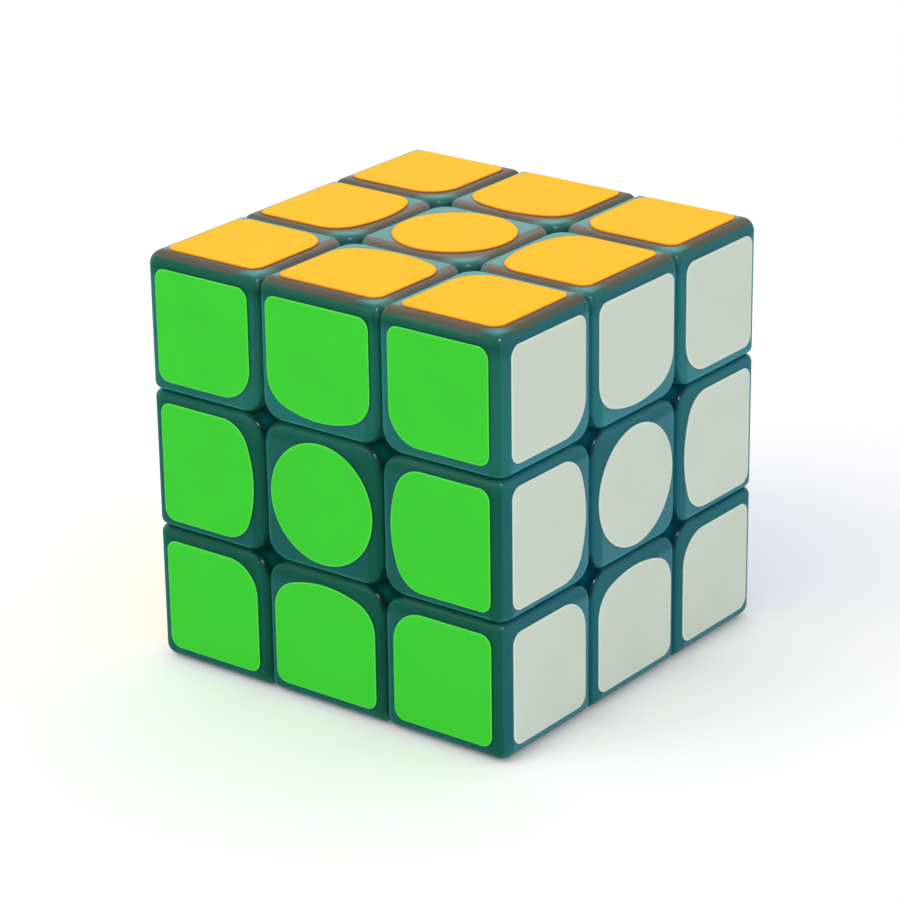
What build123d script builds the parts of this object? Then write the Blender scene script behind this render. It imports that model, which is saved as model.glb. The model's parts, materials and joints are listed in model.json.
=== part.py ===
from build123d import *
import math
import os

# Three-layer twisty puzzle cube, in millimetres. The origin is the crossing point of the three
# turning axes, +Z points out of the top face, -Y out of the front face and +X out of the right face.
# Outside the hook sphere the layers part at the layer planes. Inside it they part at the foot planes,
# so each corner and edge piece has a foot that hooks under its neighbours, and the six centre pieces,
# screwed to the core through springs, hold the whole cube together.

os.makedirs("parts", exist_ok=True)

# Overall size
size_over_stickers = 57.0
sticker_thickness = 0.2
outer_face = size_over_stickers / 2 - sticker_thickness
layer_pitch = 19.0
layer_plane = layer_pitch / 2
half_gap = 0.1

# Outer blocks
block_low = layer_plane + half_gap
centre_half = layer_plane - half_gap
wall = 1.3
outer_edge_radius = 1.8
plan_corner_radius = 2.9
seam_radius = 1.0
hollow_radius = 1.2

# Hooks and feet
hook_radius = 21.5
foot_radius = 21.2
foot_plane = 5.3
foot_low = foot_plane + half_gap
stem_half = foot_plane - half_gap
foot_inner_radius = 12.0
foot_wall = 1.6
foot_edge_radius = 0.8
glue_gap = 0.03
collar_root = 17.0
peg_end = 24.2
peg_chamfer = 0.4
edge_peg_radius = 3.0
edge_collar_radius = 4.6
corner_peg_radius = 2.2
corner_collar_radius = 3.0

# Centre pieces
stem_bottom = 5.65
stem_corner_radius = 1.5
cap_split = 24.0
cap_ring_radius = 5.6
cap_ring_wall = 1.2
cap_ring_depth = 1.8
ring_recess_depth = 2.0
hub_pocket_depth = 2.2

# Core, screws, washers and springs
core_ball_radius = 5.5
arm_radius = 3.92
arm_end = 10.1
arm_bore_radius = 4.0
web_low = 10.2
web_high = 12.0
web_hole_radius = 1.75
spring_bore_radius = 3.4
screw_radius = 1.5
screw_hole_radius = 1.53
screw_tip = 4.2
screw_hole_bottom = 4.0
screw_head_radius = 2.8
screw_head_low = 17.6
screw_head_height = 1.8
screw_head_edge = 0.7
cross_slot_length = 3.0
cross_slot_width = 0.7
cross_slot_depth = 1.0
washer_radius = 3.1
washer_thickness = 0.5
spring_coil_radius = 2.45
spring_wire_radius = 0.35
spring_coils = 4
seat_gap = 0.05

# Sticker outlines, each about the middle of its own piece's face
centre_sticker_radius = 8.2
edge_sticker_half_width = 8.2
edge_sticker_outward = 7.45
edge_sticker_inward = 7.92
edge_sticker_bulge_radius = 16.0
edge_sticker_inner_corner = 4.2
corner_sticker_outward = 7.45
corner_sticker_inward = 7.88
corner_sticker_inner_corner = 4.6
sticker_outer_corner = 1.6

block_size = outer_face - block_low
block_middle = (outer_face + block_low) / 2
foot_box = hook_radius
corner_diagonal = Plane(origin=(0, 0, 0), z_dir=(1, 1, 1))
edge_diagonal = Plane(origin=(0, 0, 0), x_dir=(1, 0, 0), z_dir=(0, 1, 1))


def is_seam(edge):
    """True for the edges between a piece's outside skin and its hidden side walls."""
    middle = edge.center()
    reach = [abs(middle.X), abs(middle.Y), abs(middle.Z)]
    near_wall = block_low + plan_corner_radius / 2
    return min(reach) < near_wall and max(reach) > outer_face - outer_edge_radius / 2


# ---------------------------------------------------------------- corner piece, +X +Y +Z
with BuildPart() as corner_hollow:
    with Locations((block_middle, block_middle, block_middle)):
        Box(block_size - 2 * wall, block_size - 2 * wall, block_size - 2 * wall)
    fillet(corner_hollow.edges(), hollow_radius)
    Sphere(hook_radius + wall, mode=Mode.SUBTRACT)

with BuildPart() as corner_shell:
    with Locations((block_middle, block_middle, block_middle)):
        Box(block_size, block_size, block_size)
    edge_groups = corner_shell.edges().group_by(lambda e: round(sum(e.center()), 3))
    fillet(edge_groups[0], plan_corner_radius)
    edge_groups = corner_shell.edges().filter_by(GeomType.LINE).group_by(lambda e: round(sum(e.center()), 1))
    fillet(edge_groups[-1], outer_edge_radius)
    fillet(corner_shell.edges().filter_by(is_seam), seam_radius)
    Sphere(hook_radius, mode=Mode.SUBTRACT)
    add(corner_hollow.part, mode=Mode.SUBTRACT)
    with BuildSketch(corner_diagonal.offset(collar_root)):
        Circle(corner_peg_radius + glue_gap)
    extrude(amount=peg_end - collar_root, mode=Mode.SUBTRACT)


with BuildPart() as corner_foot_pocket:
    with Locations((foot_low + foot_wall, foot_low + foot_wall, foot_low + foot_wall)):
        Box(foot_box, foot_box, foot_box, align=(Align.MIN, Align.MIN, Align.MIN))
    Sphere(foot_radius - foot_wall, mode=Mode.INTERSECT)

with BuildPart() as corner_foot:
    with Locations((foot_low, foot_low, foot_low)):
        Box(foot_box, foot_box, foot_box, align=(Align.MIN, Align.MIN, Align.MIN))
    Sphere(foot_radius, mode=Mode.INTERSECT)
    fillet(corner_foot.edges(), foot_edge_radius)
    Sphere(foot_inner_radius, mode=Mode.SUBTRACT)
    add(corner_foot_pocket.part, mode=Mode.SUBTRACT)
    with BuildSketch(corner_diagonal.offset(collar_root)):
        Circle(corner_collar_radius)
    extrude(amount=foot_box - collar_root)
    Sphere(hook_radius - glue_gap, mode=Mode.INTERSECT)
    with BuildSketch(corner_diagonal.offset(collar_root)):
        Circle(corner_peg_radius)
    extrude(amount=peg_end - collar_root)
    peg_rim = corner_foot.faces().filter_by(GeomType.PLANE).sort_by(lambda f: sum(f.center()))[-1]
    chamfer(peg_rim.edges(), peg_chamfer)

with BuildPart() as corner_top_sticker:
    with BuildSketch(Plane.XY.offset(outer_face)) as corner_sticker_outline:
        with BuildLine():
            Polyline(
                (layer_pitch - corner_sticker_inward, layer_pitch - corner_sticker_inward),
                (layer_pitch + corner_sticker_outward, layer_pitch - corner_sticker_inward),
                (layer_pitch + corner_sticker_outward, layer_pitch + corner_sticker_outward),
                (layer_pitch - corner_sticker_inward, layer_pitch + corner_sticker_outward),
                close=True,
            )
        make_face()
        inner_first = corner_sticker_outline.vertices().sort_by(lambda v: v.X + v.Y)
        fillet(inner_first[0], corner_sticker_inner_corner)
        outer_points = corner_sticker_outline.vertices().filter_by(
            lambda v: max(v.X, v.Y) > layer_pitch + corner_sticker_outward - sticker_outer_corner
        )
        fillet(outer_points, sticker_outer_corner)
    extrude(amount=sticker_thickness)

# ---------------------------------------------------------------- edge piece, +Y +Z, centred on X
with BuildPart() as edge_hollow:
    with Locations((0, block_middle, block_middle)):
        Box(2 * (centre_half - wall), block_size - 2 * wall, block_size - 2 * wall)
    fillet(edge_hollow.edges(), hollow_radius)
    Sphere(hook_radius + wall, mode=Mode.SUBTRACT)

with BuildPart() as edge_shell:
    with Locations((0, block_middle, block_middle)):
        Box(2 * centre_half, block_size, block_size)
    hidden_edges = edge_shell.edges().filter_by(
        lambda e: min(e.center().Y, e.center().Z) < block_low + plan_corner_radius
        and max(e.center().Y, e.center().Z) < outer_face - outer_edge_radius
    )
    fillet(hidden_edges, plan_corner_radius)
    rim_edge = edge_shell.edges().filter_by(Axis.X).sort_by(lambda e: e.center().Y + e.center().Z)[-1]
    fillet(rim_edge, outer_edge_radius)
    fillet(edge_shell.edges().filter_by(is_seam), seam_radius)
    Sphere(hook_radius, mode=Mode.SUBTRACT)
    add(edge_hollow.part, mode=Mode.SUBTRACT)
    with BuildSketch(edge_diagonal.offset(collar_root)):
        Circle(edge_peg_radius + glue_gap)
    extrude(amount=peg_end - collar_root, mode=Mode.SUBTRACT)

with BuildPart() as edge_foot_pocket:
    with Locations((0, foot_low + foot_wall, foot_low + foot_wall)):
        Box(2 * (stem_half - foot_wall), foot_box, foot_box, align=(Align.CENTER, Align.MIN, Align.MIN))
    Sphere(foot_radius - foot_wall, mode=Mode.INTERSECT)

with BuildPart() as edge_foot:
    with Locations((0, foot_low, foot_low)):
        Box(2 * stem_half, foot_box, foot_box, align=(Align.CENTER, Align.MIN, Align.MIN))
    Sphere(foot_radius, mode=Mode.INTERSECT)
    fillet(edge_foot.edges(), foot_edge_radius)
    Sphere(foot_inner_radius, mode=Mode.SUBTRACT)
    add(edge_foot_pocket.part, mode=Mode.SUBTRACT)
    with BuildSketch(edge_diagonal.offset(collar_root)):
        Circle(edge_collar_radius)
    extrude(amount=foot_box - collar_root)
    Sphere(hook_radius - glue_gap, mode=Mode.INTERSECT)
    with BuildSketch(edge_diagonal.offset(collar_root)):
        Circle(edge_peg_radius)
    extrude(amount=peg_end - collar_root)
    peg_rim = edge_foot.faces().filter_by(GeomType.PLANE).sort_by(lambda f: f.center().Y + f.center().Z)[-1]
    chamfer(peg_rim.edges(), peg_chamfer)

# The edge sticker's inner side bulges gently towards the centre piece, along -Y on the top face.
bulge_side_drop = edge_sticker_inward - (
    edge_sticker_bulge_radius - math.sqrt(edge_sticker_bulge_radius**2 - edge_sticker_half_width**2)
)
with BuildPart() as edge_top_sticker:
    with BuildSketch(Plane.XY.offset(outer_face)) as edge_sticker_outline:
        with BuildLine():
            inner_side = ThreePointArc(
                (-edge_sticker_half_width, layer_pitch - bulge_side_drop),
                (0, layer_pitch - edge_sticker_inward),
                (edge_sticker_half_width, layer_pitch - bulge_side_drop),
            )
            Polyline(
                inner_side @ 1,
                (edge_sticker_half_width, layer_pitch + edge_sticker_outward),
                (-edge_sticker_half_width, layer_pitch + edge_sticker_outward),
                inner_side @ 0,
            )
        make_face()
        fillet(edge_sticker_outline.vertices().group_by(Axis.Y)[0], edge_sticker_inner_corner)
        fillet(edge_sticker_outline.vertices().group_by(Axis.Y)[-1], sticker_outer_corner)
    extrude(amount=sticker_thickness)

# ---------------------------------------------------------------- centre piece, on +Z
with BuildPart() as centre_hub:
    with BuildSketch(Plane.XY.offset(block_low)):
        RectangleRounded(2 * centre_half, 2 * centre_half, plan_corner_radius)
    extrude(amount=cap_split - block_low)
    Sphere(hook_radius, mode=Mode.SUBTRACT)
    with BuildSketch(Plane.XY.offset(stem_bottom)):
        RectangleRounded(2 * stem_half, 2 * stem_half, stem_corner_radius)
    extrude(amount=cap_split - stem_bottom)
    with BuildSketch(Plane.XY.offset(cap_split)):
        Circle(cap_ring_radius + glue_gap)
    extrude(amount=-ring_recess_depth, mode=Mode.SUBTRACT)
    with BuildSketch(Plane.XY.offset(cap_split)):
        RectangleRounded(2 * (centre_half - wall), 2 * (centre_half - wall), plan_corner_radius - wall)
        Circle(cap_ring_radius + wall, mode=Mode.SUBTRACT)
    extrude(amount=-hub_pocket_depth, mode=Mode.SUBTRACT)
    with BuildSketch(Plane.XY.offset(web_high)):
        Circle(spring_bore_radius)
    extrude(amount=cap_split - web_high, mode=Mode.SUBTRACT)
    with BuildSketch(Plane.XY.offset(web_low)):
        Circle(web_hole_radius)
    extrude(amount=web_high - web_low, mode=Mode.SUBTRACT)
    with BuildSketch(Plane.XY.offset(stem_bottom)):
        Circle(arm_bore_radius)
    extrude(amount=web_low - stem_bottom, mode=Mode.SUBTRACT)

with BuildPart() as centre_cap:
    with BuildSketch(Plane.XY.offset(cap_split + glue_gap)):
        RectangleRounded(2 * centre_half, 2 * centre_half, plan_corner_radius)
    extrude(amount=outer_face - cap_split - glue_gap)
    fillet(centre_cap.faces().sort_by(Axis.Z)[-1].edges(), seam_radius)
    with BuildSketch(Plane.XY.offset(cap_split + glue_gap)):
        RectangleRounded(2 * (centre_half - wall), 2 * (centre_half - wall), plan_corner_radius - wall)
    extrude(amount=outer_face - wall - cap_split - glue_gap, mode=Mode.SUBTRACT)
    with BuildSketch(Plane.XY.offset(cap_split - cap_ring_depth)):
        Circle(cap_ring_radius)
        Circle(cap_ring_radius - cap_ring_wall, mode=Mode.SUBTRACT)
    extrude(amount=outer_face - wall - cap_split + cap_ring_depth)

with BuildPart() as centre_sticker:
    with BuildSketch(Plane.XY.offset(outer_face)):
        Circle(centre_sticker_radius)
    extrude(amount=sticker_thickness)

# ---------------------------------------------------------------- hardware on the +Z arm
with BuildPart() as screw:
    with BuildSketch(Plane.XY.offset(screw_tip)):
        Circle(screw_radius)
    extrude(amount=screw_head_low - screw_tip)
    chamfer(screw.edges().sort_by(Axis.Z)[0], peg_chamfer)
    with BuildSketch(Plane.XY.offset(screw_head_low)):
        Circle(screw_head_radius)
    extrude(amount=screw_head_height)
    fillet(screw.edges().sort_by(Axis.Z)[-1], screw_head_edge)
    with BuildSketch(Plane.XY.offset(screw_head_low + screw_head_height)):
        Rectangle(cross_slot_length, cross_slot_width)
        Rectangle(cross_slot_width, cross_slot_length)
    extrude(amount=-cross_slot_depth, mode=Mode.SUBTRACT)

washer_low = screw_head_low - seat_gap - washer_thickness
with BuildPart() as washer:
    with BuildSketch(Plane.XY.offset(washer_low)):
        Circle(washer_radius)
        Circle(web_hole_radius, mode=Mode.SUBTRACT)
    extrude(amount=washer_thickness)

spring_low = web_high + seat_gap + spring_wire_radius
spring_height = washer_low - seat_gap - spring_wire_radius - spring_low
with BuildPart() as spring:
    with BuildLine() as spring_path:
        Helix(pitch=spring_height / spring_coils, height=spring_height, radius=spring_coil_radius,
              center=(0, 0, spring_low))
    with BuildSketch(Plane(origin=spring_path.line @ 0, z_dir=spring_path.line % 0)):
        Circle(spring_wire_radius)
    sweep(is_frenet=True)

# ---------------------------------------------------------------- core
with BuildPart() as core:
    Sphere(core_ball_radius)
    for arm_plane in (Plane.XY, Plane.YZ, Plane.XZ):
        with BuildSketch(arm_plane):
            Circle(arm_radius)
        extrude(amount=arm_end, both=True)
    for arm_plane in (Plane.XY, Plane.YZ, Plane.XZ):
        for side in (1, -1):
            with BuildSketch(arm_plane.offset(side * screw_hole_bottom)):
                Circle(screw_hole_radius)
            extrude(amount=side * (arm_end - screw_hole_bottom), mode=Mode.SUBTRACT)


# ---------------------------------------------------------------- every piece in its place
def side_words(direction):
    """Names of the faces a direction points to, such as top_front_right."""
    words = []
    for reach, plus_side, minus_side in (
        (direction.Z, "top", "bottom"),
        (direction.Y, "back", "front"),
        (direction.X, "right", "left"),
    ):
        if reach > 0.5:
            words.append(plus_side)
        if reach < -0.5:
            words.append(minus_side)
    return "_".join(words)


def save(built, name):
    """Label one finished piece and write its file."""
    built.part.label = name
    export_step(built.part, "parts/" + name + ".step")


quarter_turns = [Rot(0, 0, 90 * quarter) for quarter in range(4)]
upside_down = Rot(180, 0, 0)
tip_to_front = Rot(90, 0, 0)
tip_to_side = Rot(0, 90, 0)
corner_places = quarter_turns + [turn * upside_down for turn in quarter_turns]
edge_places = corner_places + [turn * tip_to_side for turn in quarter_turns]
centre_places = [Rot(0, 0, 0), upside_down] + [turn * tip_to_front for turn in quarter_turns]

for place in corner_places:
    where = side_words((place * Pos(1, 1, 1)).position)
    with BuildPart() as corner_piece:
        with Locations(place):
            add(corner_shell.part)
            add(corner_foot.part)
    save(corner_piece, "corner_" + where)
    with BuildPart() as corner_stickers:
        for face_turn in (0, 120, 240):
            with Locations(place):
                add(corner_top_sticker.part.rotate(Axis((0, 0, 0), (1, 1, 1)), face_turn))
    save(corner_stickers, "corner_" + where + "_stickers")

for place in edge_places:
    where = side_words((place * Pos(0, 1, 1)).position)
    with BuildPart() as edge_piece:
        with Locations(place):
            add(edge_shell.part)
            add(edge_foot.part)
    save(edge_piece, "edge_" + where)
    with BuildPart() as edge_stickers:
        for face_turn in (0, 180):
            with Locations(place):
                add(edge_top_sticker.part.rotate(Axis((0, 0, 0), (0, 1, 1)), face_turn))
    save(edge_stickers, "edge_" + where + "_stickers")

for place in centre_places:
    where = side_words((place * Pos(0, 0, 1)).position)
    with BuildPart() as centre_piece:
        with Locations(place):
            add(centre_hub.part)
            add(centre_cap.part)
    save(centre_piece, "centre_" + where)
    with BuildPart() as placed_sticker:
        with Locations(place):
            add(centre_sticker.part)
    save(placed_sticker, "centre_" + where + "_sticker")

save(core, "core")

with BuildPart() as tension_screws:
    with Locations(centre_places):
        add(screw.part)
save(tension_screws, "tension_screws")

with BuildPart() as washers:
    with Locations(centre_places):
        add(washer.part)
save(washers, "washers")

with BuildPart() as springs:
    with Locations(centre_places):
        add(spring.part)
save(springs, "springs")
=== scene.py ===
"""Twisty puzzle cube: looks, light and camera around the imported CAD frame."""

import json
import math

import bmesh
import bpy
from mathutils import Matrix, Vector

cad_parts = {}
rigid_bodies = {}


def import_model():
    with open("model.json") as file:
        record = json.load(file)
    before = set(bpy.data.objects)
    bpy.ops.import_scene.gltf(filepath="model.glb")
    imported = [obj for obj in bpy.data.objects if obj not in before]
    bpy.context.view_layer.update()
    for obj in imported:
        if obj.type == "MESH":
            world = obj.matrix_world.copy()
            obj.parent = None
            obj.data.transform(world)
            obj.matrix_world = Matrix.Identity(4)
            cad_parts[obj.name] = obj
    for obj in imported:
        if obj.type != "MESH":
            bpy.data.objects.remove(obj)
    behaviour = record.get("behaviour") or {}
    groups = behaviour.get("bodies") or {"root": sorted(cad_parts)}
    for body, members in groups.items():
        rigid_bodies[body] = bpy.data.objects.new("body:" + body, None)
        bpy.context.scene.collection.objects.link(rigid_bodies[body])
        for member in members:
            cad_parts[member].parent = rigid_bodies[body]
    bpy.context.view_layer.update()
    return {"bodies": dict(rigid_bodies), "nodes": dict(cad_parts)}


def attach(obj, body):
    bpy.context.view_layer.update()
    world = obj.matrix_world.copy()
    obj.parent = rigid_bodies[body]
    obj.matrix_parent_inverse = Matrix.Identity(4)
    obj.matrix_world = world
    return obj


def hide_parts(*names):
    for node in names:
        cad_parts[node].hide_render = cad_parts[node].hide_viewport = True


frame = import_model()

MM = 0.001
STICKER_TOP = 28.5 * MM          # from the centre of the cube
STICKER_THICKNESS = 0.2          # millimetres
PITCH = 19.0 * MM                # from one piece to the next

FACES = {
    "right": Vector((1, 0, 0)),
    "left": Vector((-1, 0, 0)),
    "back": Vector((0, 1, 0)),
    "front": Vector((0, -1, 0)),
    "top": Vector((0, 0, 1)),
    "bottom": Vector((0, 0, -1)),
}
COLOUR_NAMES = {
    "right": "white",
    "left": "yellow",
    "back": "blue",
    "front": "green",
    "top": "orange",
    "bottom": "red",
}


def srgb(r, g, b):
    """Linear colour from 0-255 sRGB values."""
    out = []
    for value in (r, g, b):
        c = value / 255
        out.append(c / 12.92 if c <= 0.04045 else ((c + 0.055) / 1.055) ** 2.4)
    return (*out, 1.0)


def shade(colour, share):
    """The colour made darker, to this share of its light."""
    return (*(channel * share for channel in colour[:3]), 1.0)


# ------------------------------------------------------------------ node helpers
def new_material(name):
    """An empty material: itself, its node tree and its shader."""
    material = bpy.data.materials.new(name)
    material.use_nodes = True
    tree = material.node_tree
    tree.nodes.clear()
    output = tree.nodes.new("ShaderNodeOutputMaterial")
    shader = tree.nodes.new("ShaderNodeBsdfPrincipled")
    tree.links.new(shader.outputs["BSDF"], output.inputs["Surface"])
    return material, tree, shader


def add(tree, kind, **settings):
    """A new node with these settings."""
    node = tree.nodes.new(kind)
    for key, value in settings.items():
        setattr(node, key, value)
    return node


def object_coordinates(tree):
    return add(tree, "ShaderNodeTexCoord").outputs["Object"]


def noise(tree, vector, scale, detail=3.0, roughness=0.5):
    node = add(tree, "ShaderNodeTexNoise")
    node.inputs["Scale"].default_value = scale
    node.inputs["Detail"].default_value = detail
    node.inputs["Roughness"].default_value = roughness
    tree.links.new(vector, node.inputs["Vector"])
    return node.outputs["Fac"]


def ramp(tree, value, low, high, out_low=0.0, out_high=1.0):
    """A smooth step from out_low, where value is low, to out_high, where it is high."""
    node = add(tree, "ShaderNodeMapRange")
    node.interpolation_type = "SMOOTHSTEP"
    limits = {"From Min": low, "From Max": high, "To Min": out_low, "To Max": out_high}
    for key, number in limits.items():
        node.inputs[key].default_value = number
    tree.links.new(value, node.inputs["Value"])
    return node.outputs["Result"]


def math_node(tree, operation, a, b=None):
    node = add(tree, "ShaderNodeMath", operation=operation)
    for socket, value in zip(node.inputs, (a, b)):
        if value is None:
            continue
        if isinstance(value, (int, float)):
            socket.default_value = value
        else:
            tree.links.new(value, socket)
    return node.outputs["Value"]


def middle_value(tree, values):
    """The second largest of three values."""
    low = math_node(tree, "MINIMUM", values[0], values[1])
    high = math_node(tree, "MAXIMUM", values[0], values[1])
    return math_node(tree, "MAXIMUM", low, math_node(tree, "MINIMUM", high, values[2]))


def mix(tree, factor, first, second, blend="MIX"):
    """The first colour at factor 0 and the second at factor 1, or the two blended."""
    node = add(tree, "ShaderNodeMix", data_type="RGBA", blend_type=blend)
    for index, value in ((0, factor), (6, first), (7, second)):
        socket = node.inputs[index]
        if isinstance(value, (int, float, tuple)):
            socket.default_value = value
        else:
            tree.links.new(value, socket)
    return node.outputs[2]


def bump(tree, shader, height, strength, distance):
    node = add(tree, "ShaderNodeBump")
    node.inputs["Strength"].default_value = strength
    node.inputs["Distance"].default_value = distance
    tree.links.new(height, node.inputs["Height"])
    tree.links.new(node.outputs["Normal"], shader.inputs["Normal"])


# ------------------------------------------------------------------ plastic
# Tints of the plastic on each face, as sRGB. Each face has its own copy, which paints the light and
# shade that face shows:
# - near_sides are the two in-face directions on whose side of a sticker the band is painted: a
#   painted reflection of the sticker's underside seen through the plastic, with painted shade
#   behind the sticker; corner_share is the share of that band kept where the two sides meet;
# - the two band tints and border are the flat plastic in that painted band, in the painted band
#   beside the cube's outer edges, and in the rest of the border;
# - the near and far rim tints are the rounded rims towards the near sides and away from them:
#   painted shade on the near rims, painted light on the far rims;
# - deep is the plastic below, in the gaps;
# - the star tint is painted shade on the wall of the holes where four pieces meet.
FACE_LIGHT_AND_SHADE = {
    "front": {
        "near_sides": (("x", 1), ("z", 1)),
        "corner_share": 1.0,
        "band": (19, 87, 71),
        "edge_band": (18, 98, 76),
        "border": (30, 94, 90),
        "near_rim": (22, 92, 75),
        "far_rim": (48, 138, 126),
        "deep": (8, 106, 100),
        "star": (5, 55, 48),
    },
    "right": {
        "near_sides": (("y", -1), ("z", 1)),
        "corner_share": 1.0,
        "band": (41, 109, 119),
        "edge_band": (38, 107, 110),
        "border": (68, 129, 142),
        "near_rim": (30, 106, 118),
        "far_rim": (66, 158, 170),
        "deep": (14, 116, 138),
        "star": (8, 64, 78),
    },
    # On the top, the light cyan border and far rims are a painted reflection of the bright sky, and
    # the brown band is a painted reflection of the orange stickers' undersides.
    "top": {
        "near_sides": (("x", 1), ("y", -1)),
        "corner_share": 0.1,
        "band": (113, 102, 90),
        "edge_band": (97, 91, 76),
        "border": (96, 160, 156),
        "near_rim": (100, 116, 106),
        "far_rim": (97, 146, 141),
        "deep": (60, 116, 118),
        "star": (64, 120, 117),
    },
    "back": {
        "near_sides": (("x", -1), ("z", 1)),
        "corner_share": 0.8,
        "band": (8, 56, 108),
        "edge_band": (14, 72, 124),
        "border": (26, 92, 118),
        "near_rim": (16, 76, 100),
        "far_rim": (40, 124, 144),
        "deep": (4, 94, 112),
        "star": (4, 50, 78),
    },
    "left": {
        "near_sides": (("y", 1), ("z", 1)),
        "corner_share": 0.8,
        "band": (72, 92, 40),
        "edge_band": (84, 108, 50),
        "border": (46, 108, 86),
        "near_rim": (54, 96, 58),
        "far_rim": (52, 132, 108),
        "deep": (12, 100, 84),
        "star": (18, 70, 48),
    },
    "bottom": {
        "near_sides": (("x", -1), ("y", 1)),
        "corner_share": 0.5,
        "band": (88, 46, 46),
        "edge_band": (96, 54, 54),
        "border": (40, 88, 92),
        "near_rim": (66, 66, 68),
        "far_rim": (48, 112, 112),
        "deep": (14, 92, 92),
        "star": (22, 60, 62),
    },
}
TINT_NAMES = ("band", "edge_band", "border", "near_rim", "far_rim", "deep", "star")
EDGE_HIGHLIGHT_TINT = srgb(32, 108, 104)       # painted highlight along the cube's outer rounded edges
INNER_TINT = srgb(2, 88, 92)         # everything deeper than the faces' own deep tints
LIT_TINT = srgb(80, 192, 190)        # light that soaks down through the top layer
LIT_SHARE = 0.11
CLOUD_TINT = srgb(10, 60, 62)        # faint darker clouds all over
CLOUD_SHARE = 0.12
STAR_LIFT = (1.8, 1.8, 1.8, 1.0)     # light that reaches down into the star-shaped holes

# Where each tint starts and ends, in millimetres from the middle of the cube unless stated.
LIT_RANGE = (6.0, 13.0)              # heights over which the top layer's light sets in
LIT_END_RANGE = (24.5, 26.3)         # and over which it ends, below the top face
UNDER_RANGE = (21.0, 24.0)           # heights over which the depth below a face takes its tint
SKIN_RANGE = (26.1, 27.7)            # heights over which the skin's tints replace the deep one
BAND_RANGE = (47.0, 59.0)            # square of the distance from the middle of a piece
FADE_RANGE = (92.0, 125.0)           # the same, where the band fades in its corner
STAR_RANGE = (3.5, 2.1)              # distance from the crossing of two gaps
TILT_RANGE = (0.62, 0.80)            # how squarely the skin faces outwards, for the band
TOP_TILT_RANGE = (0.56, 0.74)        # the same for the top face's band, which reaches further down
FLAT_RANGE = (0.75, 0.97)            # and for the border


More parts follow.
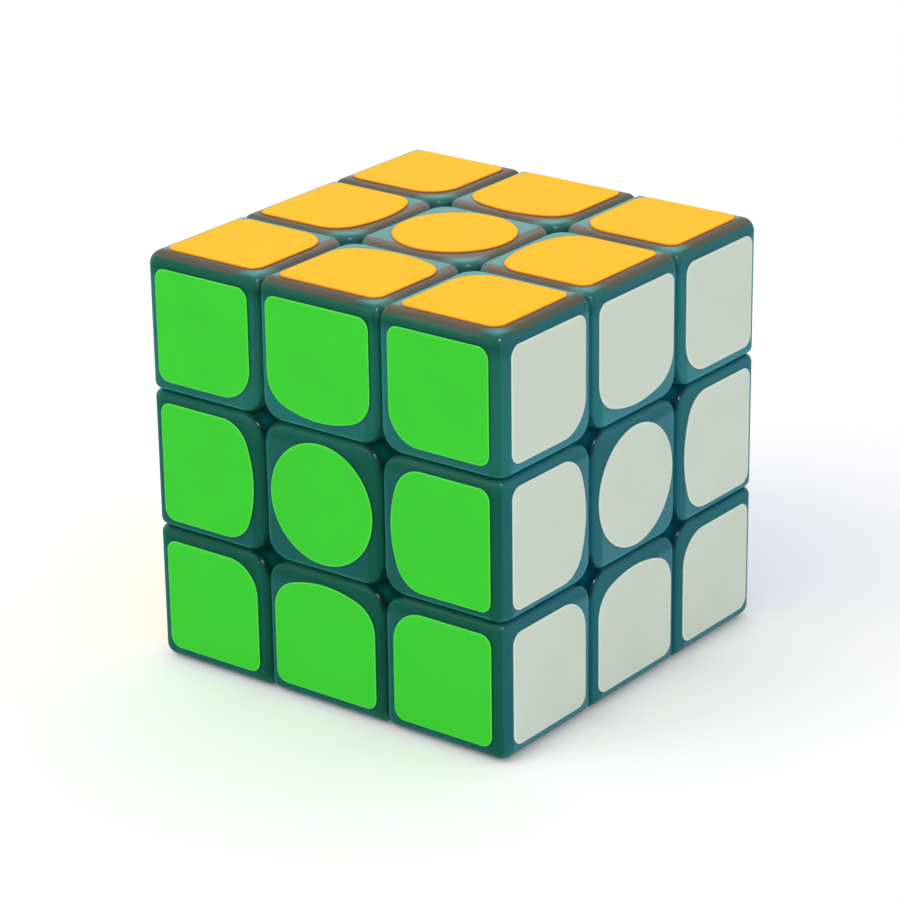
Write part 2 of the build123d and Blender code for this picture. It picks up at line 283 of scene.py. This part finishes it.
def plastic_material():
    """Translucent teal plastic, with the light and shade it shows painted into its tint. The tint
    changes with the face it is on, with depth, with the tilt of the skin, at the cube's outer edges
    (a painted highlight), in the star-shaped holes (painted shade), and beside each sticker (a
    painted reflection of its underside, with painted shade)."""
    material, tree, shader = new_material("teal_plastic")
    coords = add(tree, "ShaderNodeTexCoord")
    place, normal = coords.outputs["Object"], coords.outputs["Normal"]
    facing = add(tree, "ShaderNodeSeparateXYZ")
    tree.links.new(normal, facing.inputs["Vector"])
    where = add(tree, "ShaderNodeSeparateXYZ")
    tree.links.new(place, where.inputs["Vector"])

    pitch = PITCH / MM
    height = {}          # along each face's outward direction
    square = {}          # square of the distance from the middle of the piece, in each direction
    size = []            # distance from the middle of the cube along each axis
    gap_distance = []    # distance from the nearest gap along each axis
    for k, name in enumerate("xyz"):
        coordinate = math_node(tree, "MULTIPLY", where.outputs[k], 1 / MM)
        size.append(math_node(tree, "ABSOLUTE", coordinate))
        from_gap = math_node(tree, "SUBTRACT", size[k], 0.5 * pitch)
        gap_distance.append(math_node(tree, "ABSOLUTE", from_gap))
        shifted = math_node(tree, "ADD", coordinate, 1.5 * pitch)
        cell = math_node(tree, "FLOORED_MODULO", shifted, pitch)
        cell = math_node(tree, "SUBTRACT", cell, 0.5 * pitch)
        for sign in (1, -1):
            height[name, sign] = math_node(tree, "MULTIPLY", coordinate, sign)
            part = math_node(tree, "MAXIMUM", math_node(tree, "MULTIPLY", cell, sign), 0.0)
            square[name, sign] = math_node(tree, "MULTIPLY", part, part)
    outer = ramp(tree, middle_value(tree, size), *SKIN_RANGE)
    # Mask of the star-shaped holes, where their painted shade and painted light go.
    star = ramp(tree, middle_value(tree, gap_distance), *STAR_RANGE)

    colour = INNER_TINT
    layers = []
    for face, tints in FACE_LIGHT_AND_SHADE.items():
        tint = {key: srgb(*tints[key]) for key in TINT_NAMES}
        axis = FACES[face]
        k = [abs(axis.x), abs(axis.y), abs(axis.z)].index(1.0)
        out = height["xyz"[k], int(axis[k])]
        colour = mix(tree, ramp(tree, out, *UNDER_RANGE), colour, tint["deep"])
        from_middle = math_node(tree, "ADD", *(square[side] for side in tints["near_sides"]))
        # The near sides of each sticker carry the painted band: a painted reflection of the
        # sticker's underside, with painted shade.
        shade_and_reflection_side = math_node(
            tree,
            "MULTIPLY",
            ramp(tree, from_middle, *BAND_RANGE),
            ramp(tree, from_middle, *FADE_RANGE, 1.0, tints["corner_share"]),
        )
        # Rims: painted shade towards the near sides, painted light away from them.
        rim = mix(tree, shade_and_reflection_side, tint["far_rim"], tint["near_rim"])
        # Painted shade on the walls of the star holes.
        rim = mix(tree, star, rim, tint["star"])
        # Painted highlight along the cube's outer edges.
        rim = mix(tree, outer, rim, EDGE_HIGHLIGHT_TINT)
        # The painted reflection and shade of the band, with its own tint beside the cube's outer
        # edges.
        band = mix(tree, outer, tint["band"], tint["edge_band"])
        tilt = math_node(tree, "MULTIPLY", facing.outputs[k], axis[k])
        tilt_range = TOP_TILT_RANGE if face == "top" else TILT_RANGE
        facing_shade_and_reflection_side = math_node(tree, "MULTIPLY", shade_and_reflection_side, ramp(tree, tilt, *tilt_range))
        layers.append((ramp(tree, out, *SKIN_RANGE), tilt, facing_shade_and_reflection_side, rim, band, tint["border"]))
    # Painted light lifting the deep plastic inside the star holes.
    colour = mix(tree, star, colour, STAR_LIFT, "MULTIPLY")
    for skin, _, _, rim, _, _ in layers:
        colour = mix(tree, skin, colour, rim)
    for skin, tilt, facing_shade_and_reflection_side, _, band, border in layers:
        flat = ramp(tree, tilt, *FLAT_RANGE)
        colour = mix(tree, math_node(tree, "MULTIPLY", flat, skin), colour, border)
        # The painted band beside each sticker: painted reflection of its underside, with painted
        # shade.
        colour = mix(tree, math_node(tree, "MULTIPLY", facing_shade_and_reflection_side, skin), colour, band)
    lit = math_node(
        tree,
        "MULTIPLY",
        ramp(tree, height["z", 1], *LIT_RANGE, 0.0, LIT_SHARE),
        ramp(tree, height["z", 1], *LIT_END_RANGE, 1.0, 0.0),
    )
    colour = mix(tree, lit, colour, LIT_TINT)
    cloud = noise(tree, place, scale=60.0, detail=2.0)
    colour = mix(tree, ramp(tree, cloud, 0.3, 0.7, 0.0, CLOUD_SHARE), colour, CLOUD_TINT)
    tree.links.new(colour, shader.inputs["Base Color"])
    grain = noise(tree, place, scale=300.0, detail=2.0)
    tree.links.new(ramp(tree, grain, 0.2, 0.8, 0.10, 0.15), shader.inputs["Roughness"])
    waves = noise(tree, place, scale=120.0, detail=1.0)
    bump(tree, shader, waves, strength=0.03, distance=0.0002)
    shader.inputs["IOR"].default_value = 1.5
    shader.inputs["Specular IOR Level"].default_value = 0.1
    shader.inputs["Subsurface Weight"].default_value = 1.0
    shader.inputs["Subsurface Radius"].default_value = (0.3, 1.0, 0.95)
    shader.inputs["Subsurface Scale"].default_value = 0.0015
    return material


# ------------------------------------------------------------------ vinyl, steel and nylon
# The face of each sticker, the painted highlight on its rolled rim (painted shade on the orange and
# red rims), and its cut edge.
STICKER_FACES = {
    "white": srgb(207, 218, 205),
    "yellow": srgb(240, 222, 60),
    "blue": srgb(40, 96, 214),
    "green": srgb(58, 200, 49),
    "orange": srgb(255, 197, 2),
    "red": srgb(214, 44, 40),
}
STICKER_RIM_LIGHT_AND_SHADE = {
    "white": srgb(228, 240, 232),
    "yellow": srgb(250, 240, 120),
    "blue": srgb(90, 140, 236),
    "green": srgb(96, 224, 86),
    "orange": srgb(232, 130, 20),
    "red": srgb(130, 16, 20),
}
STICKER_CUTS = {name: shade(colour, 0.3) for name, colour in STICKER_FACES.items()}
STICKER_CUTS["white"] = srgb(190, 214, 204)
STICKER_CUTS["orange"] = srgb(214, 120, 48)
MOTTLE_SHARE = 0.965                 # light of the darker patches


def sticker_material(name):
    """Satin vinyl: a faint mottle, a fine grain, a rolled rim with a painted highlight (painted
    shade on orange and red) and a cut edge.
    """
    material, tree, shader = new_material("sticker_" + name)
    place = object_coordinates(tree)
    rim = add(tree, "ShaderNodeAttribute", attribute_name="rim").outputs["Fac"]
    wall = add(tree, "ShaderNodeAttribute", attribute_name="wall").outputs["Fac"]
    mottle = ramp(tree, noise(tree, place, scale=160.0, detail=4.0), 0.3, 0.7)
    face = mix(tree, mottle, shade(STICKER_FACES[name], MOTTLE_SHARE), STICKER_FACES[name])
    # The rim's painted highlight, painted shade on the orange and red stickers.
    edged = mix(tree, rim, face, STICKER_RIM_LIGHT_AND_SHADE[name])
    tree.links.new(mix(tree, wall, edged, STICKER_CUTS[name]), shader.inputs["Base Color"])
    grain = noise(tree, place, scale=3000.0, detail=2.0)
    tree.links.new(ramp(tree, grain, 0.2, 0.8, 0.36, 0.46), shader.inputs["Roughness"])
    bump(tree, shader, noise(tree, place, scale=1800.0), strength=0.05, distance=0.0001)
    shader.inputs["IOR"].default_value = 1.45
    shader.inputs["Specular IOR Level"].default_value = 0.08
    return material


def steel_material():
    """Zinc-plated steel with fine streaks."""
    material, tree, shader = new_material("zinc_steel")
    streaks = noise(tree, object_coordinates(tree), scale=2600.0, detail=6.0, roughness=0.7)
    metal = mix(tree, streaks, srgb(168, 170, 172), srgb(205, 207, 208))
    tree.links.new(metal, shader.inputs["Base Color"])
    tree.links.new(ramp(tree, streaks, 0.2, 0.8, 0.22, 0.42), shader.inputs["Roughness"])
    bump(tree, shader, streaks, strength=0.1, distance=0.0001)
    shader.inputs["Metallic"].default_value = 1.0
    return material


def core_material():
    """Black moulded nylon."""
    material, tree, shader = new_material("core_nylon")
    place = object_coordinates(tree)
    cloud = noise(tree, place, scale=500.0, detail=4.0)
    black = mix(tree, cloud, srgb(24, 25, 27), srgb(40, 42, 45))
    tree.links.new(black, shader.inputs["Base Color"])
    tree.links.new(ramp(tree, cloud, 0.2, 0.8, 0.45, 0.6), shader.inputs["Roughness"])
    bump(tree, shader, noise(tree, place, scale=2200.0), strength=0.15, distance=0.0001)
    return material


plastic = plastic_material()
steel = steel_material()
nylon = core_material()
vinyl = {name: sticker_material(name) for name in STICKER_FACES}

for name, node in frame["nodes"].items():
    if name == "core":
        finish = nylon
    elif name in ("tension_screws", "washers", "springs"):
        finish = steel
    elif "sticker" in name:
        finish = vinyl[COLOUR_NAMES[name.split("_")[1]]]
    else:
        finish = plastic
    node.data.materials.clear()
    node.data.materials.append(finish)


# ------------------------------------------------------------------ stickers
# Outlines in millimetres, in u and v, with the middle of the piece at 0, 0. Outward is the reach
# towards the cube's outer edges, and inward the reach the other way.
ARC_STEPS = 14
SMALL_RADIUS = 1.6
CENTRE_RADIUS = 8.2
CENTRE_POINTS = 96
CORNER_OUTWARD = 7.45
CORNER_INWARD = 7.88
CORNER_WIDE_RADIUS = 4.6
EDGE_OUTWARD = 7.45
EDGE_INWARD = 7.92
EDGE_HALF_WIDTH = 8.2
EDGE_WIDE_RADIUS = 4.2
EDGE_BULGE_RADIUS = 16.0


def arc(centre, radius, start, end, steps=ARC_STEPS):
    """Points of an arc, angles in degrees."""
    points = []
    for k in range(steps + 1):
        angle = math.radians(start + (end - start) * k / steps)
        u, v = radius * math.cos(angle), radius * math.sin(angle)
        points.append((centre[0] + u, centre[1] + v))
    return points


def centre_outline():
    """A circle."""
    return arc((0, 0), CENTRE_RADIUS, 0, 360 - 360 / CENTRE_POINTS, CENTRE_POINTS - 1)


def corner_outline():
    """Square with one wide corner, towards -u -v."""
    low, high = CORNER_INWARD, CORNER_OUTWARD
    wide, small = CORNER_WIDE_RADIUS, SMALL_RADIUS
    return (
        arc((-low + wide, -low + wide), wide, 180, 270)
        + arc((high - small, -low + small), small, 270, 360)
        + arc((high - small, high - small), small, 0, 90)
        + arc((-low + small, high - small), small, 90, 180)
    )


def edge_outline():
    """Square with a bulging side and two wide corners towards -v."""
    half, outward, inward = EDGE_HALF_WIDTH, EDGE_OUTWARD, EDGE_INWARD
    bulge, wide, small = EDGE_BULGE_RADIUS, EDGE_WIDE_RADIUS, SMALL_RADIUS
    bulge_centre = bulge - inward
    side = half - wide
    drop = math.sqrt((bulge - wide) ** 2 - side**2)
    join = math.degrees(math.atan2(-drop, side))
    return (
        arc((-side, bulge_centre - drop), wide, 180, 180 - join)
        + arc((0, bulge_centre), bulge, 180 - join, 360 + join)[1:-1]
        + arc((side, bulge_centre - drop), wide, 360 + join, 360)
        + arc((half - small, outward - small), small, 0, 90)
        + arc((-half + small, outward - small), small, 90, 180)
    )


RIM_RINGS = (
    # inset from the outline and depth below the top, in millimetres, then the shares of the rim's
    # painted highlight (painted shade on orange and red) and of the cut edge's colour
    (0.0, STICKER_THICKNESS, 0.0, 1.0),
    (0.0, 0.09, 0.2, 0.8),
    (0.025, 0.035, 1.0, 0.0),
    (0.075, 0.006, 0.7, 0.0),
    (0.16, 0.0, 0.25, 0.0),
    (0.30, 0.0, 0.0, 0.0),
    (0.6, 0.0, 0.0, 0.0),
)


def inset_points(points, amount):
    """The outline moved inwards by amount, along the local normals."""
    out = []
    count = len(points)
    for k, (u, v) in enumerate(points):
        u0, v0 = points[k - 1]
        u1, v1 = points[(k + 1) % count]
        du, dv = u1 - u0, v1 - v0
        length = math.hypot(du, dv)
        out.append((u - dv / length * amount, v + du / length * amount))
    return out


def sticker_mesh(name, outline):
    """A thin sheet with a softened, slightly rounded cut edge. Its outline lies in u, v, and its
    top faces +w."""
    bm = bmesh.new()
    rim_light_and_shade_layer = bm.verts.layers.float.new("rim")
    wall_layer = bm.verts.layers.float.new("wall")
    rings = []
    for inset, depth, rim_light_and_shade_share, wall_share in RIM_RINGS:
        ring = []
        for u, v in inset_points(outline, inset):
            vert = bm.verts.new((u * MM, v * MM, -depth * MM))
            vert[rim_light_and_shade_layer] = rim_light_and_shade_share
            vert[wall_layer] = wall_share
            ring.append(vert)
        rings.append(ring)
    count = len(outline)
    for low, high in zip(rings, rings[1:]):
        for k in range(count):
            n = (k + 1) % count
            bm.faces.new((low[k], low[n], high[n], high[k]))
    bm.faces.new(rings[-1])
    bm.faces.new(list(reversed(rings[0])))
    for face in bm.faces:
        face.smooth = True
    bm.normal_update()
    mesh = bpy.data.meshes.new(name)
    bm.to_mesh(mesh)
    bm.free()
    return mesh


MESHES = {
    "centre": sticker_mesh("centre_sticker_sheet", centre_outline()),
    "edge": sticker_mesh("edge_sticker_sheet", edge_outline()),
    "corner": sticker_mesh("corner_sticker_sheet", corner_outline()),
}


def outward_axis(kind, sides, side, outward):
    """The in-face direction that a sticker's v axis takes: towards the cube's outer edge, and on a
    corner piece the one of the two that keeps the outline unmirrored."""
    up = FACES[side]
    if kind == "centre":
        return Vector((0, 0, 1)) if abs(up.z) < 0.5 else Vector((0, 1, 0))
    if kind == "edge":
        return outward.normalized()
    first, second = (FACES[s] for s in sides if s != side)
    return second if first.cross(up).dot(second) < 0 else first


def place_stickers(body):
    """Puts every sticker of one piece in place. The name of the piece's body lists its faces, as in
    corner_top_front_right."""
    kind, *sides = body.split("_")
    middle = sum((FACES[s] for s in sides), Vector()) * PITCH
    node = body + ("_sticker" if kind == "centre" else "_stickers")
    for side in sides:
        up = FACES[side]
        outward = middle - up * PITCH
        v_axis = outward_axis(kind, sides, side, outward)
        u_axis = v_axis.cross(up)
        turn = Matrix((u_axis, v_axis, up)).transposed().to_4x4()
        mesh = MESHES[kind].copy()
        mesh.transform(Matrix.Translation(outward + up * STICKER_TOP) @ turn)
        piece = bpy.data.objects.new(f"sticker_{body}_on_{side}", mesh)
        bpy.context.scene.collection.objects.link(piece)
        mesh.materials.append(vinyl[COLOUR_NAMES[side]])
        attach(piece, body)
        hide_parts(node)


for body in frame["bodies"]:
    if body != "core_assembly":
        place_stickers(body)

# ------------------------------------------------------------------ floor
FLOOR_REACH = 4.0
FLOOR_HEIGHT = -STICKER_TOP - 0.02 * MM      # just clear of the bottom stickers
FLOOR_CORNERS = ((-1, -1), (1, -1), (1, 1), (-1, 1))

floor_mesh = bpy.data.meshes.new("floor")
floor_mesh.from_pydata(
    [(x * FLOOR_REACH, y * FLOOR_REACH, FLOOR_HEIGHT) for x, y in FLOOR_CORNERS], [], [(0, 1, 2, 3)]
)
floor = bpy.data.objects.new("floor", floor_mesh)
bpy.context.scene.collection.objects.link(floor)
floor.visible_glossy = False
paper, tree, shader = new_material("floor_paper")
fibre = noise(tree, object_coordinates(tree), scale=30.0)
pale = mix(tree, fibre, srgb(246, 246, 245), srgb(250, 250, 250))
tree.links.new(pale, shader.inputs["Base Color"])
shader.inputs["Roughness"].default_value = 0.9
shader.inputs["Emission Color"].default_value = (1.0, 1.0, 1.0, 1.0)
shader.inputs["Emission Strength"].default_value = 0.1
floor_mesh.materials.append(paper)


# ------------------------------------------------------------------ light
# The sky is darker below the horizon, between these heights of the view direction.
SKY_RANGE = (-0.25, 0.12)
GROUND_SHARE = 0.25


def softbox(name, position, size, power):
    """A square lamp that faces the middle of the cube."""
    lamp = bpy.data.lights.new(name, "AREA")
    lamp.shape = "RECTANGLE"
    lamp.size = lamp.size_y = size
    lamp.energy = power
    obj = bpy.data.objects.new(name, lamp)
    obj.location = position
    obj.rotation_euler = (-Vector(position)).to_track_quat("-Z", "Y").to_euler()
    bpy.context.scene.collection.objects.link(obj)
    return obj


softbox("key_softbox", position=(-0.35, -0.75, 0.75), size=0.7, power=3.2)
glint = softbox("glint_softbox", position=(0.44, -0.31, 0.6), size=0.22, power=5.0)
glint.visible_diffuse = False        # it only shines on glossy rims

world = bpy.data.worlds.new("studio")
world.use_nodes = True
tree = world.node_tree
sky = add(tree, "ShaderNodeSeparateXYZ")
tree.links.new(add(tree, "ShaderNodeTexCoord").outputs["Generated"], sky.inputs["Vector"])
backdrop = tree.nodes["Background"]
light = ramp(tree, sky.outputs["Z"], *SKY_RANGE, GROUND_SHARE, 1.0)
tree.links.new(light, backdrop.inputs["Color"])
backdrop.inputs["Strength"].default_value = 0.88
bpy.context.scene.world = world
bpy.context.scene.view_settings.view_transform = "Standard"

# ------------------------------------------------------------------ camera
AZIMUTH, ELEVATION, ROLL = map(math.radians, (37.525, 21.64, -0.832))
DISTANCE, SHIFT_RIGHT, SHIFT_UP = 0.45601, -0.001006, -0.001633      # metres
LENS, SENSOR = 138.49, 36.0                                          # millimetres
NEAREST = 0.01

back = Vector(
    (
        math.sin(AZIMUTH) * math.cos(ELEVATION),
        -math.cos(AZIMUTH) * math.cos(ELEVATION),
        math.sin(ELEVATION),
    )
)
level = Vector((math.cos(AZIMUTH), math.sin(AZIMUTH), 0))
upright = back.cross(level)
right = level * math.cos(ROLL) + upright * math.sin(ROLL)
up = upright * math.cos(ROLL) - level * math.sin(ROLL)
stand = Matrix.Translation(back * DISTANCE + right * SHIFT_RIGHT + up * SHIFT_UP)
camera = bpy.data.objects.new("camera", bpy.data.cameras.new("camera"))
camera.data.sensor_width = SENSOR
camera.data.lens = LENS
camera.data.clip_start = NEAREST
camera.matrix_world = stand @ Matrix((right, up, back)).transposed().to_4x4()
bpy.context.scene.collection.objects.link(camera)
bpy.context.scene.camera = camera
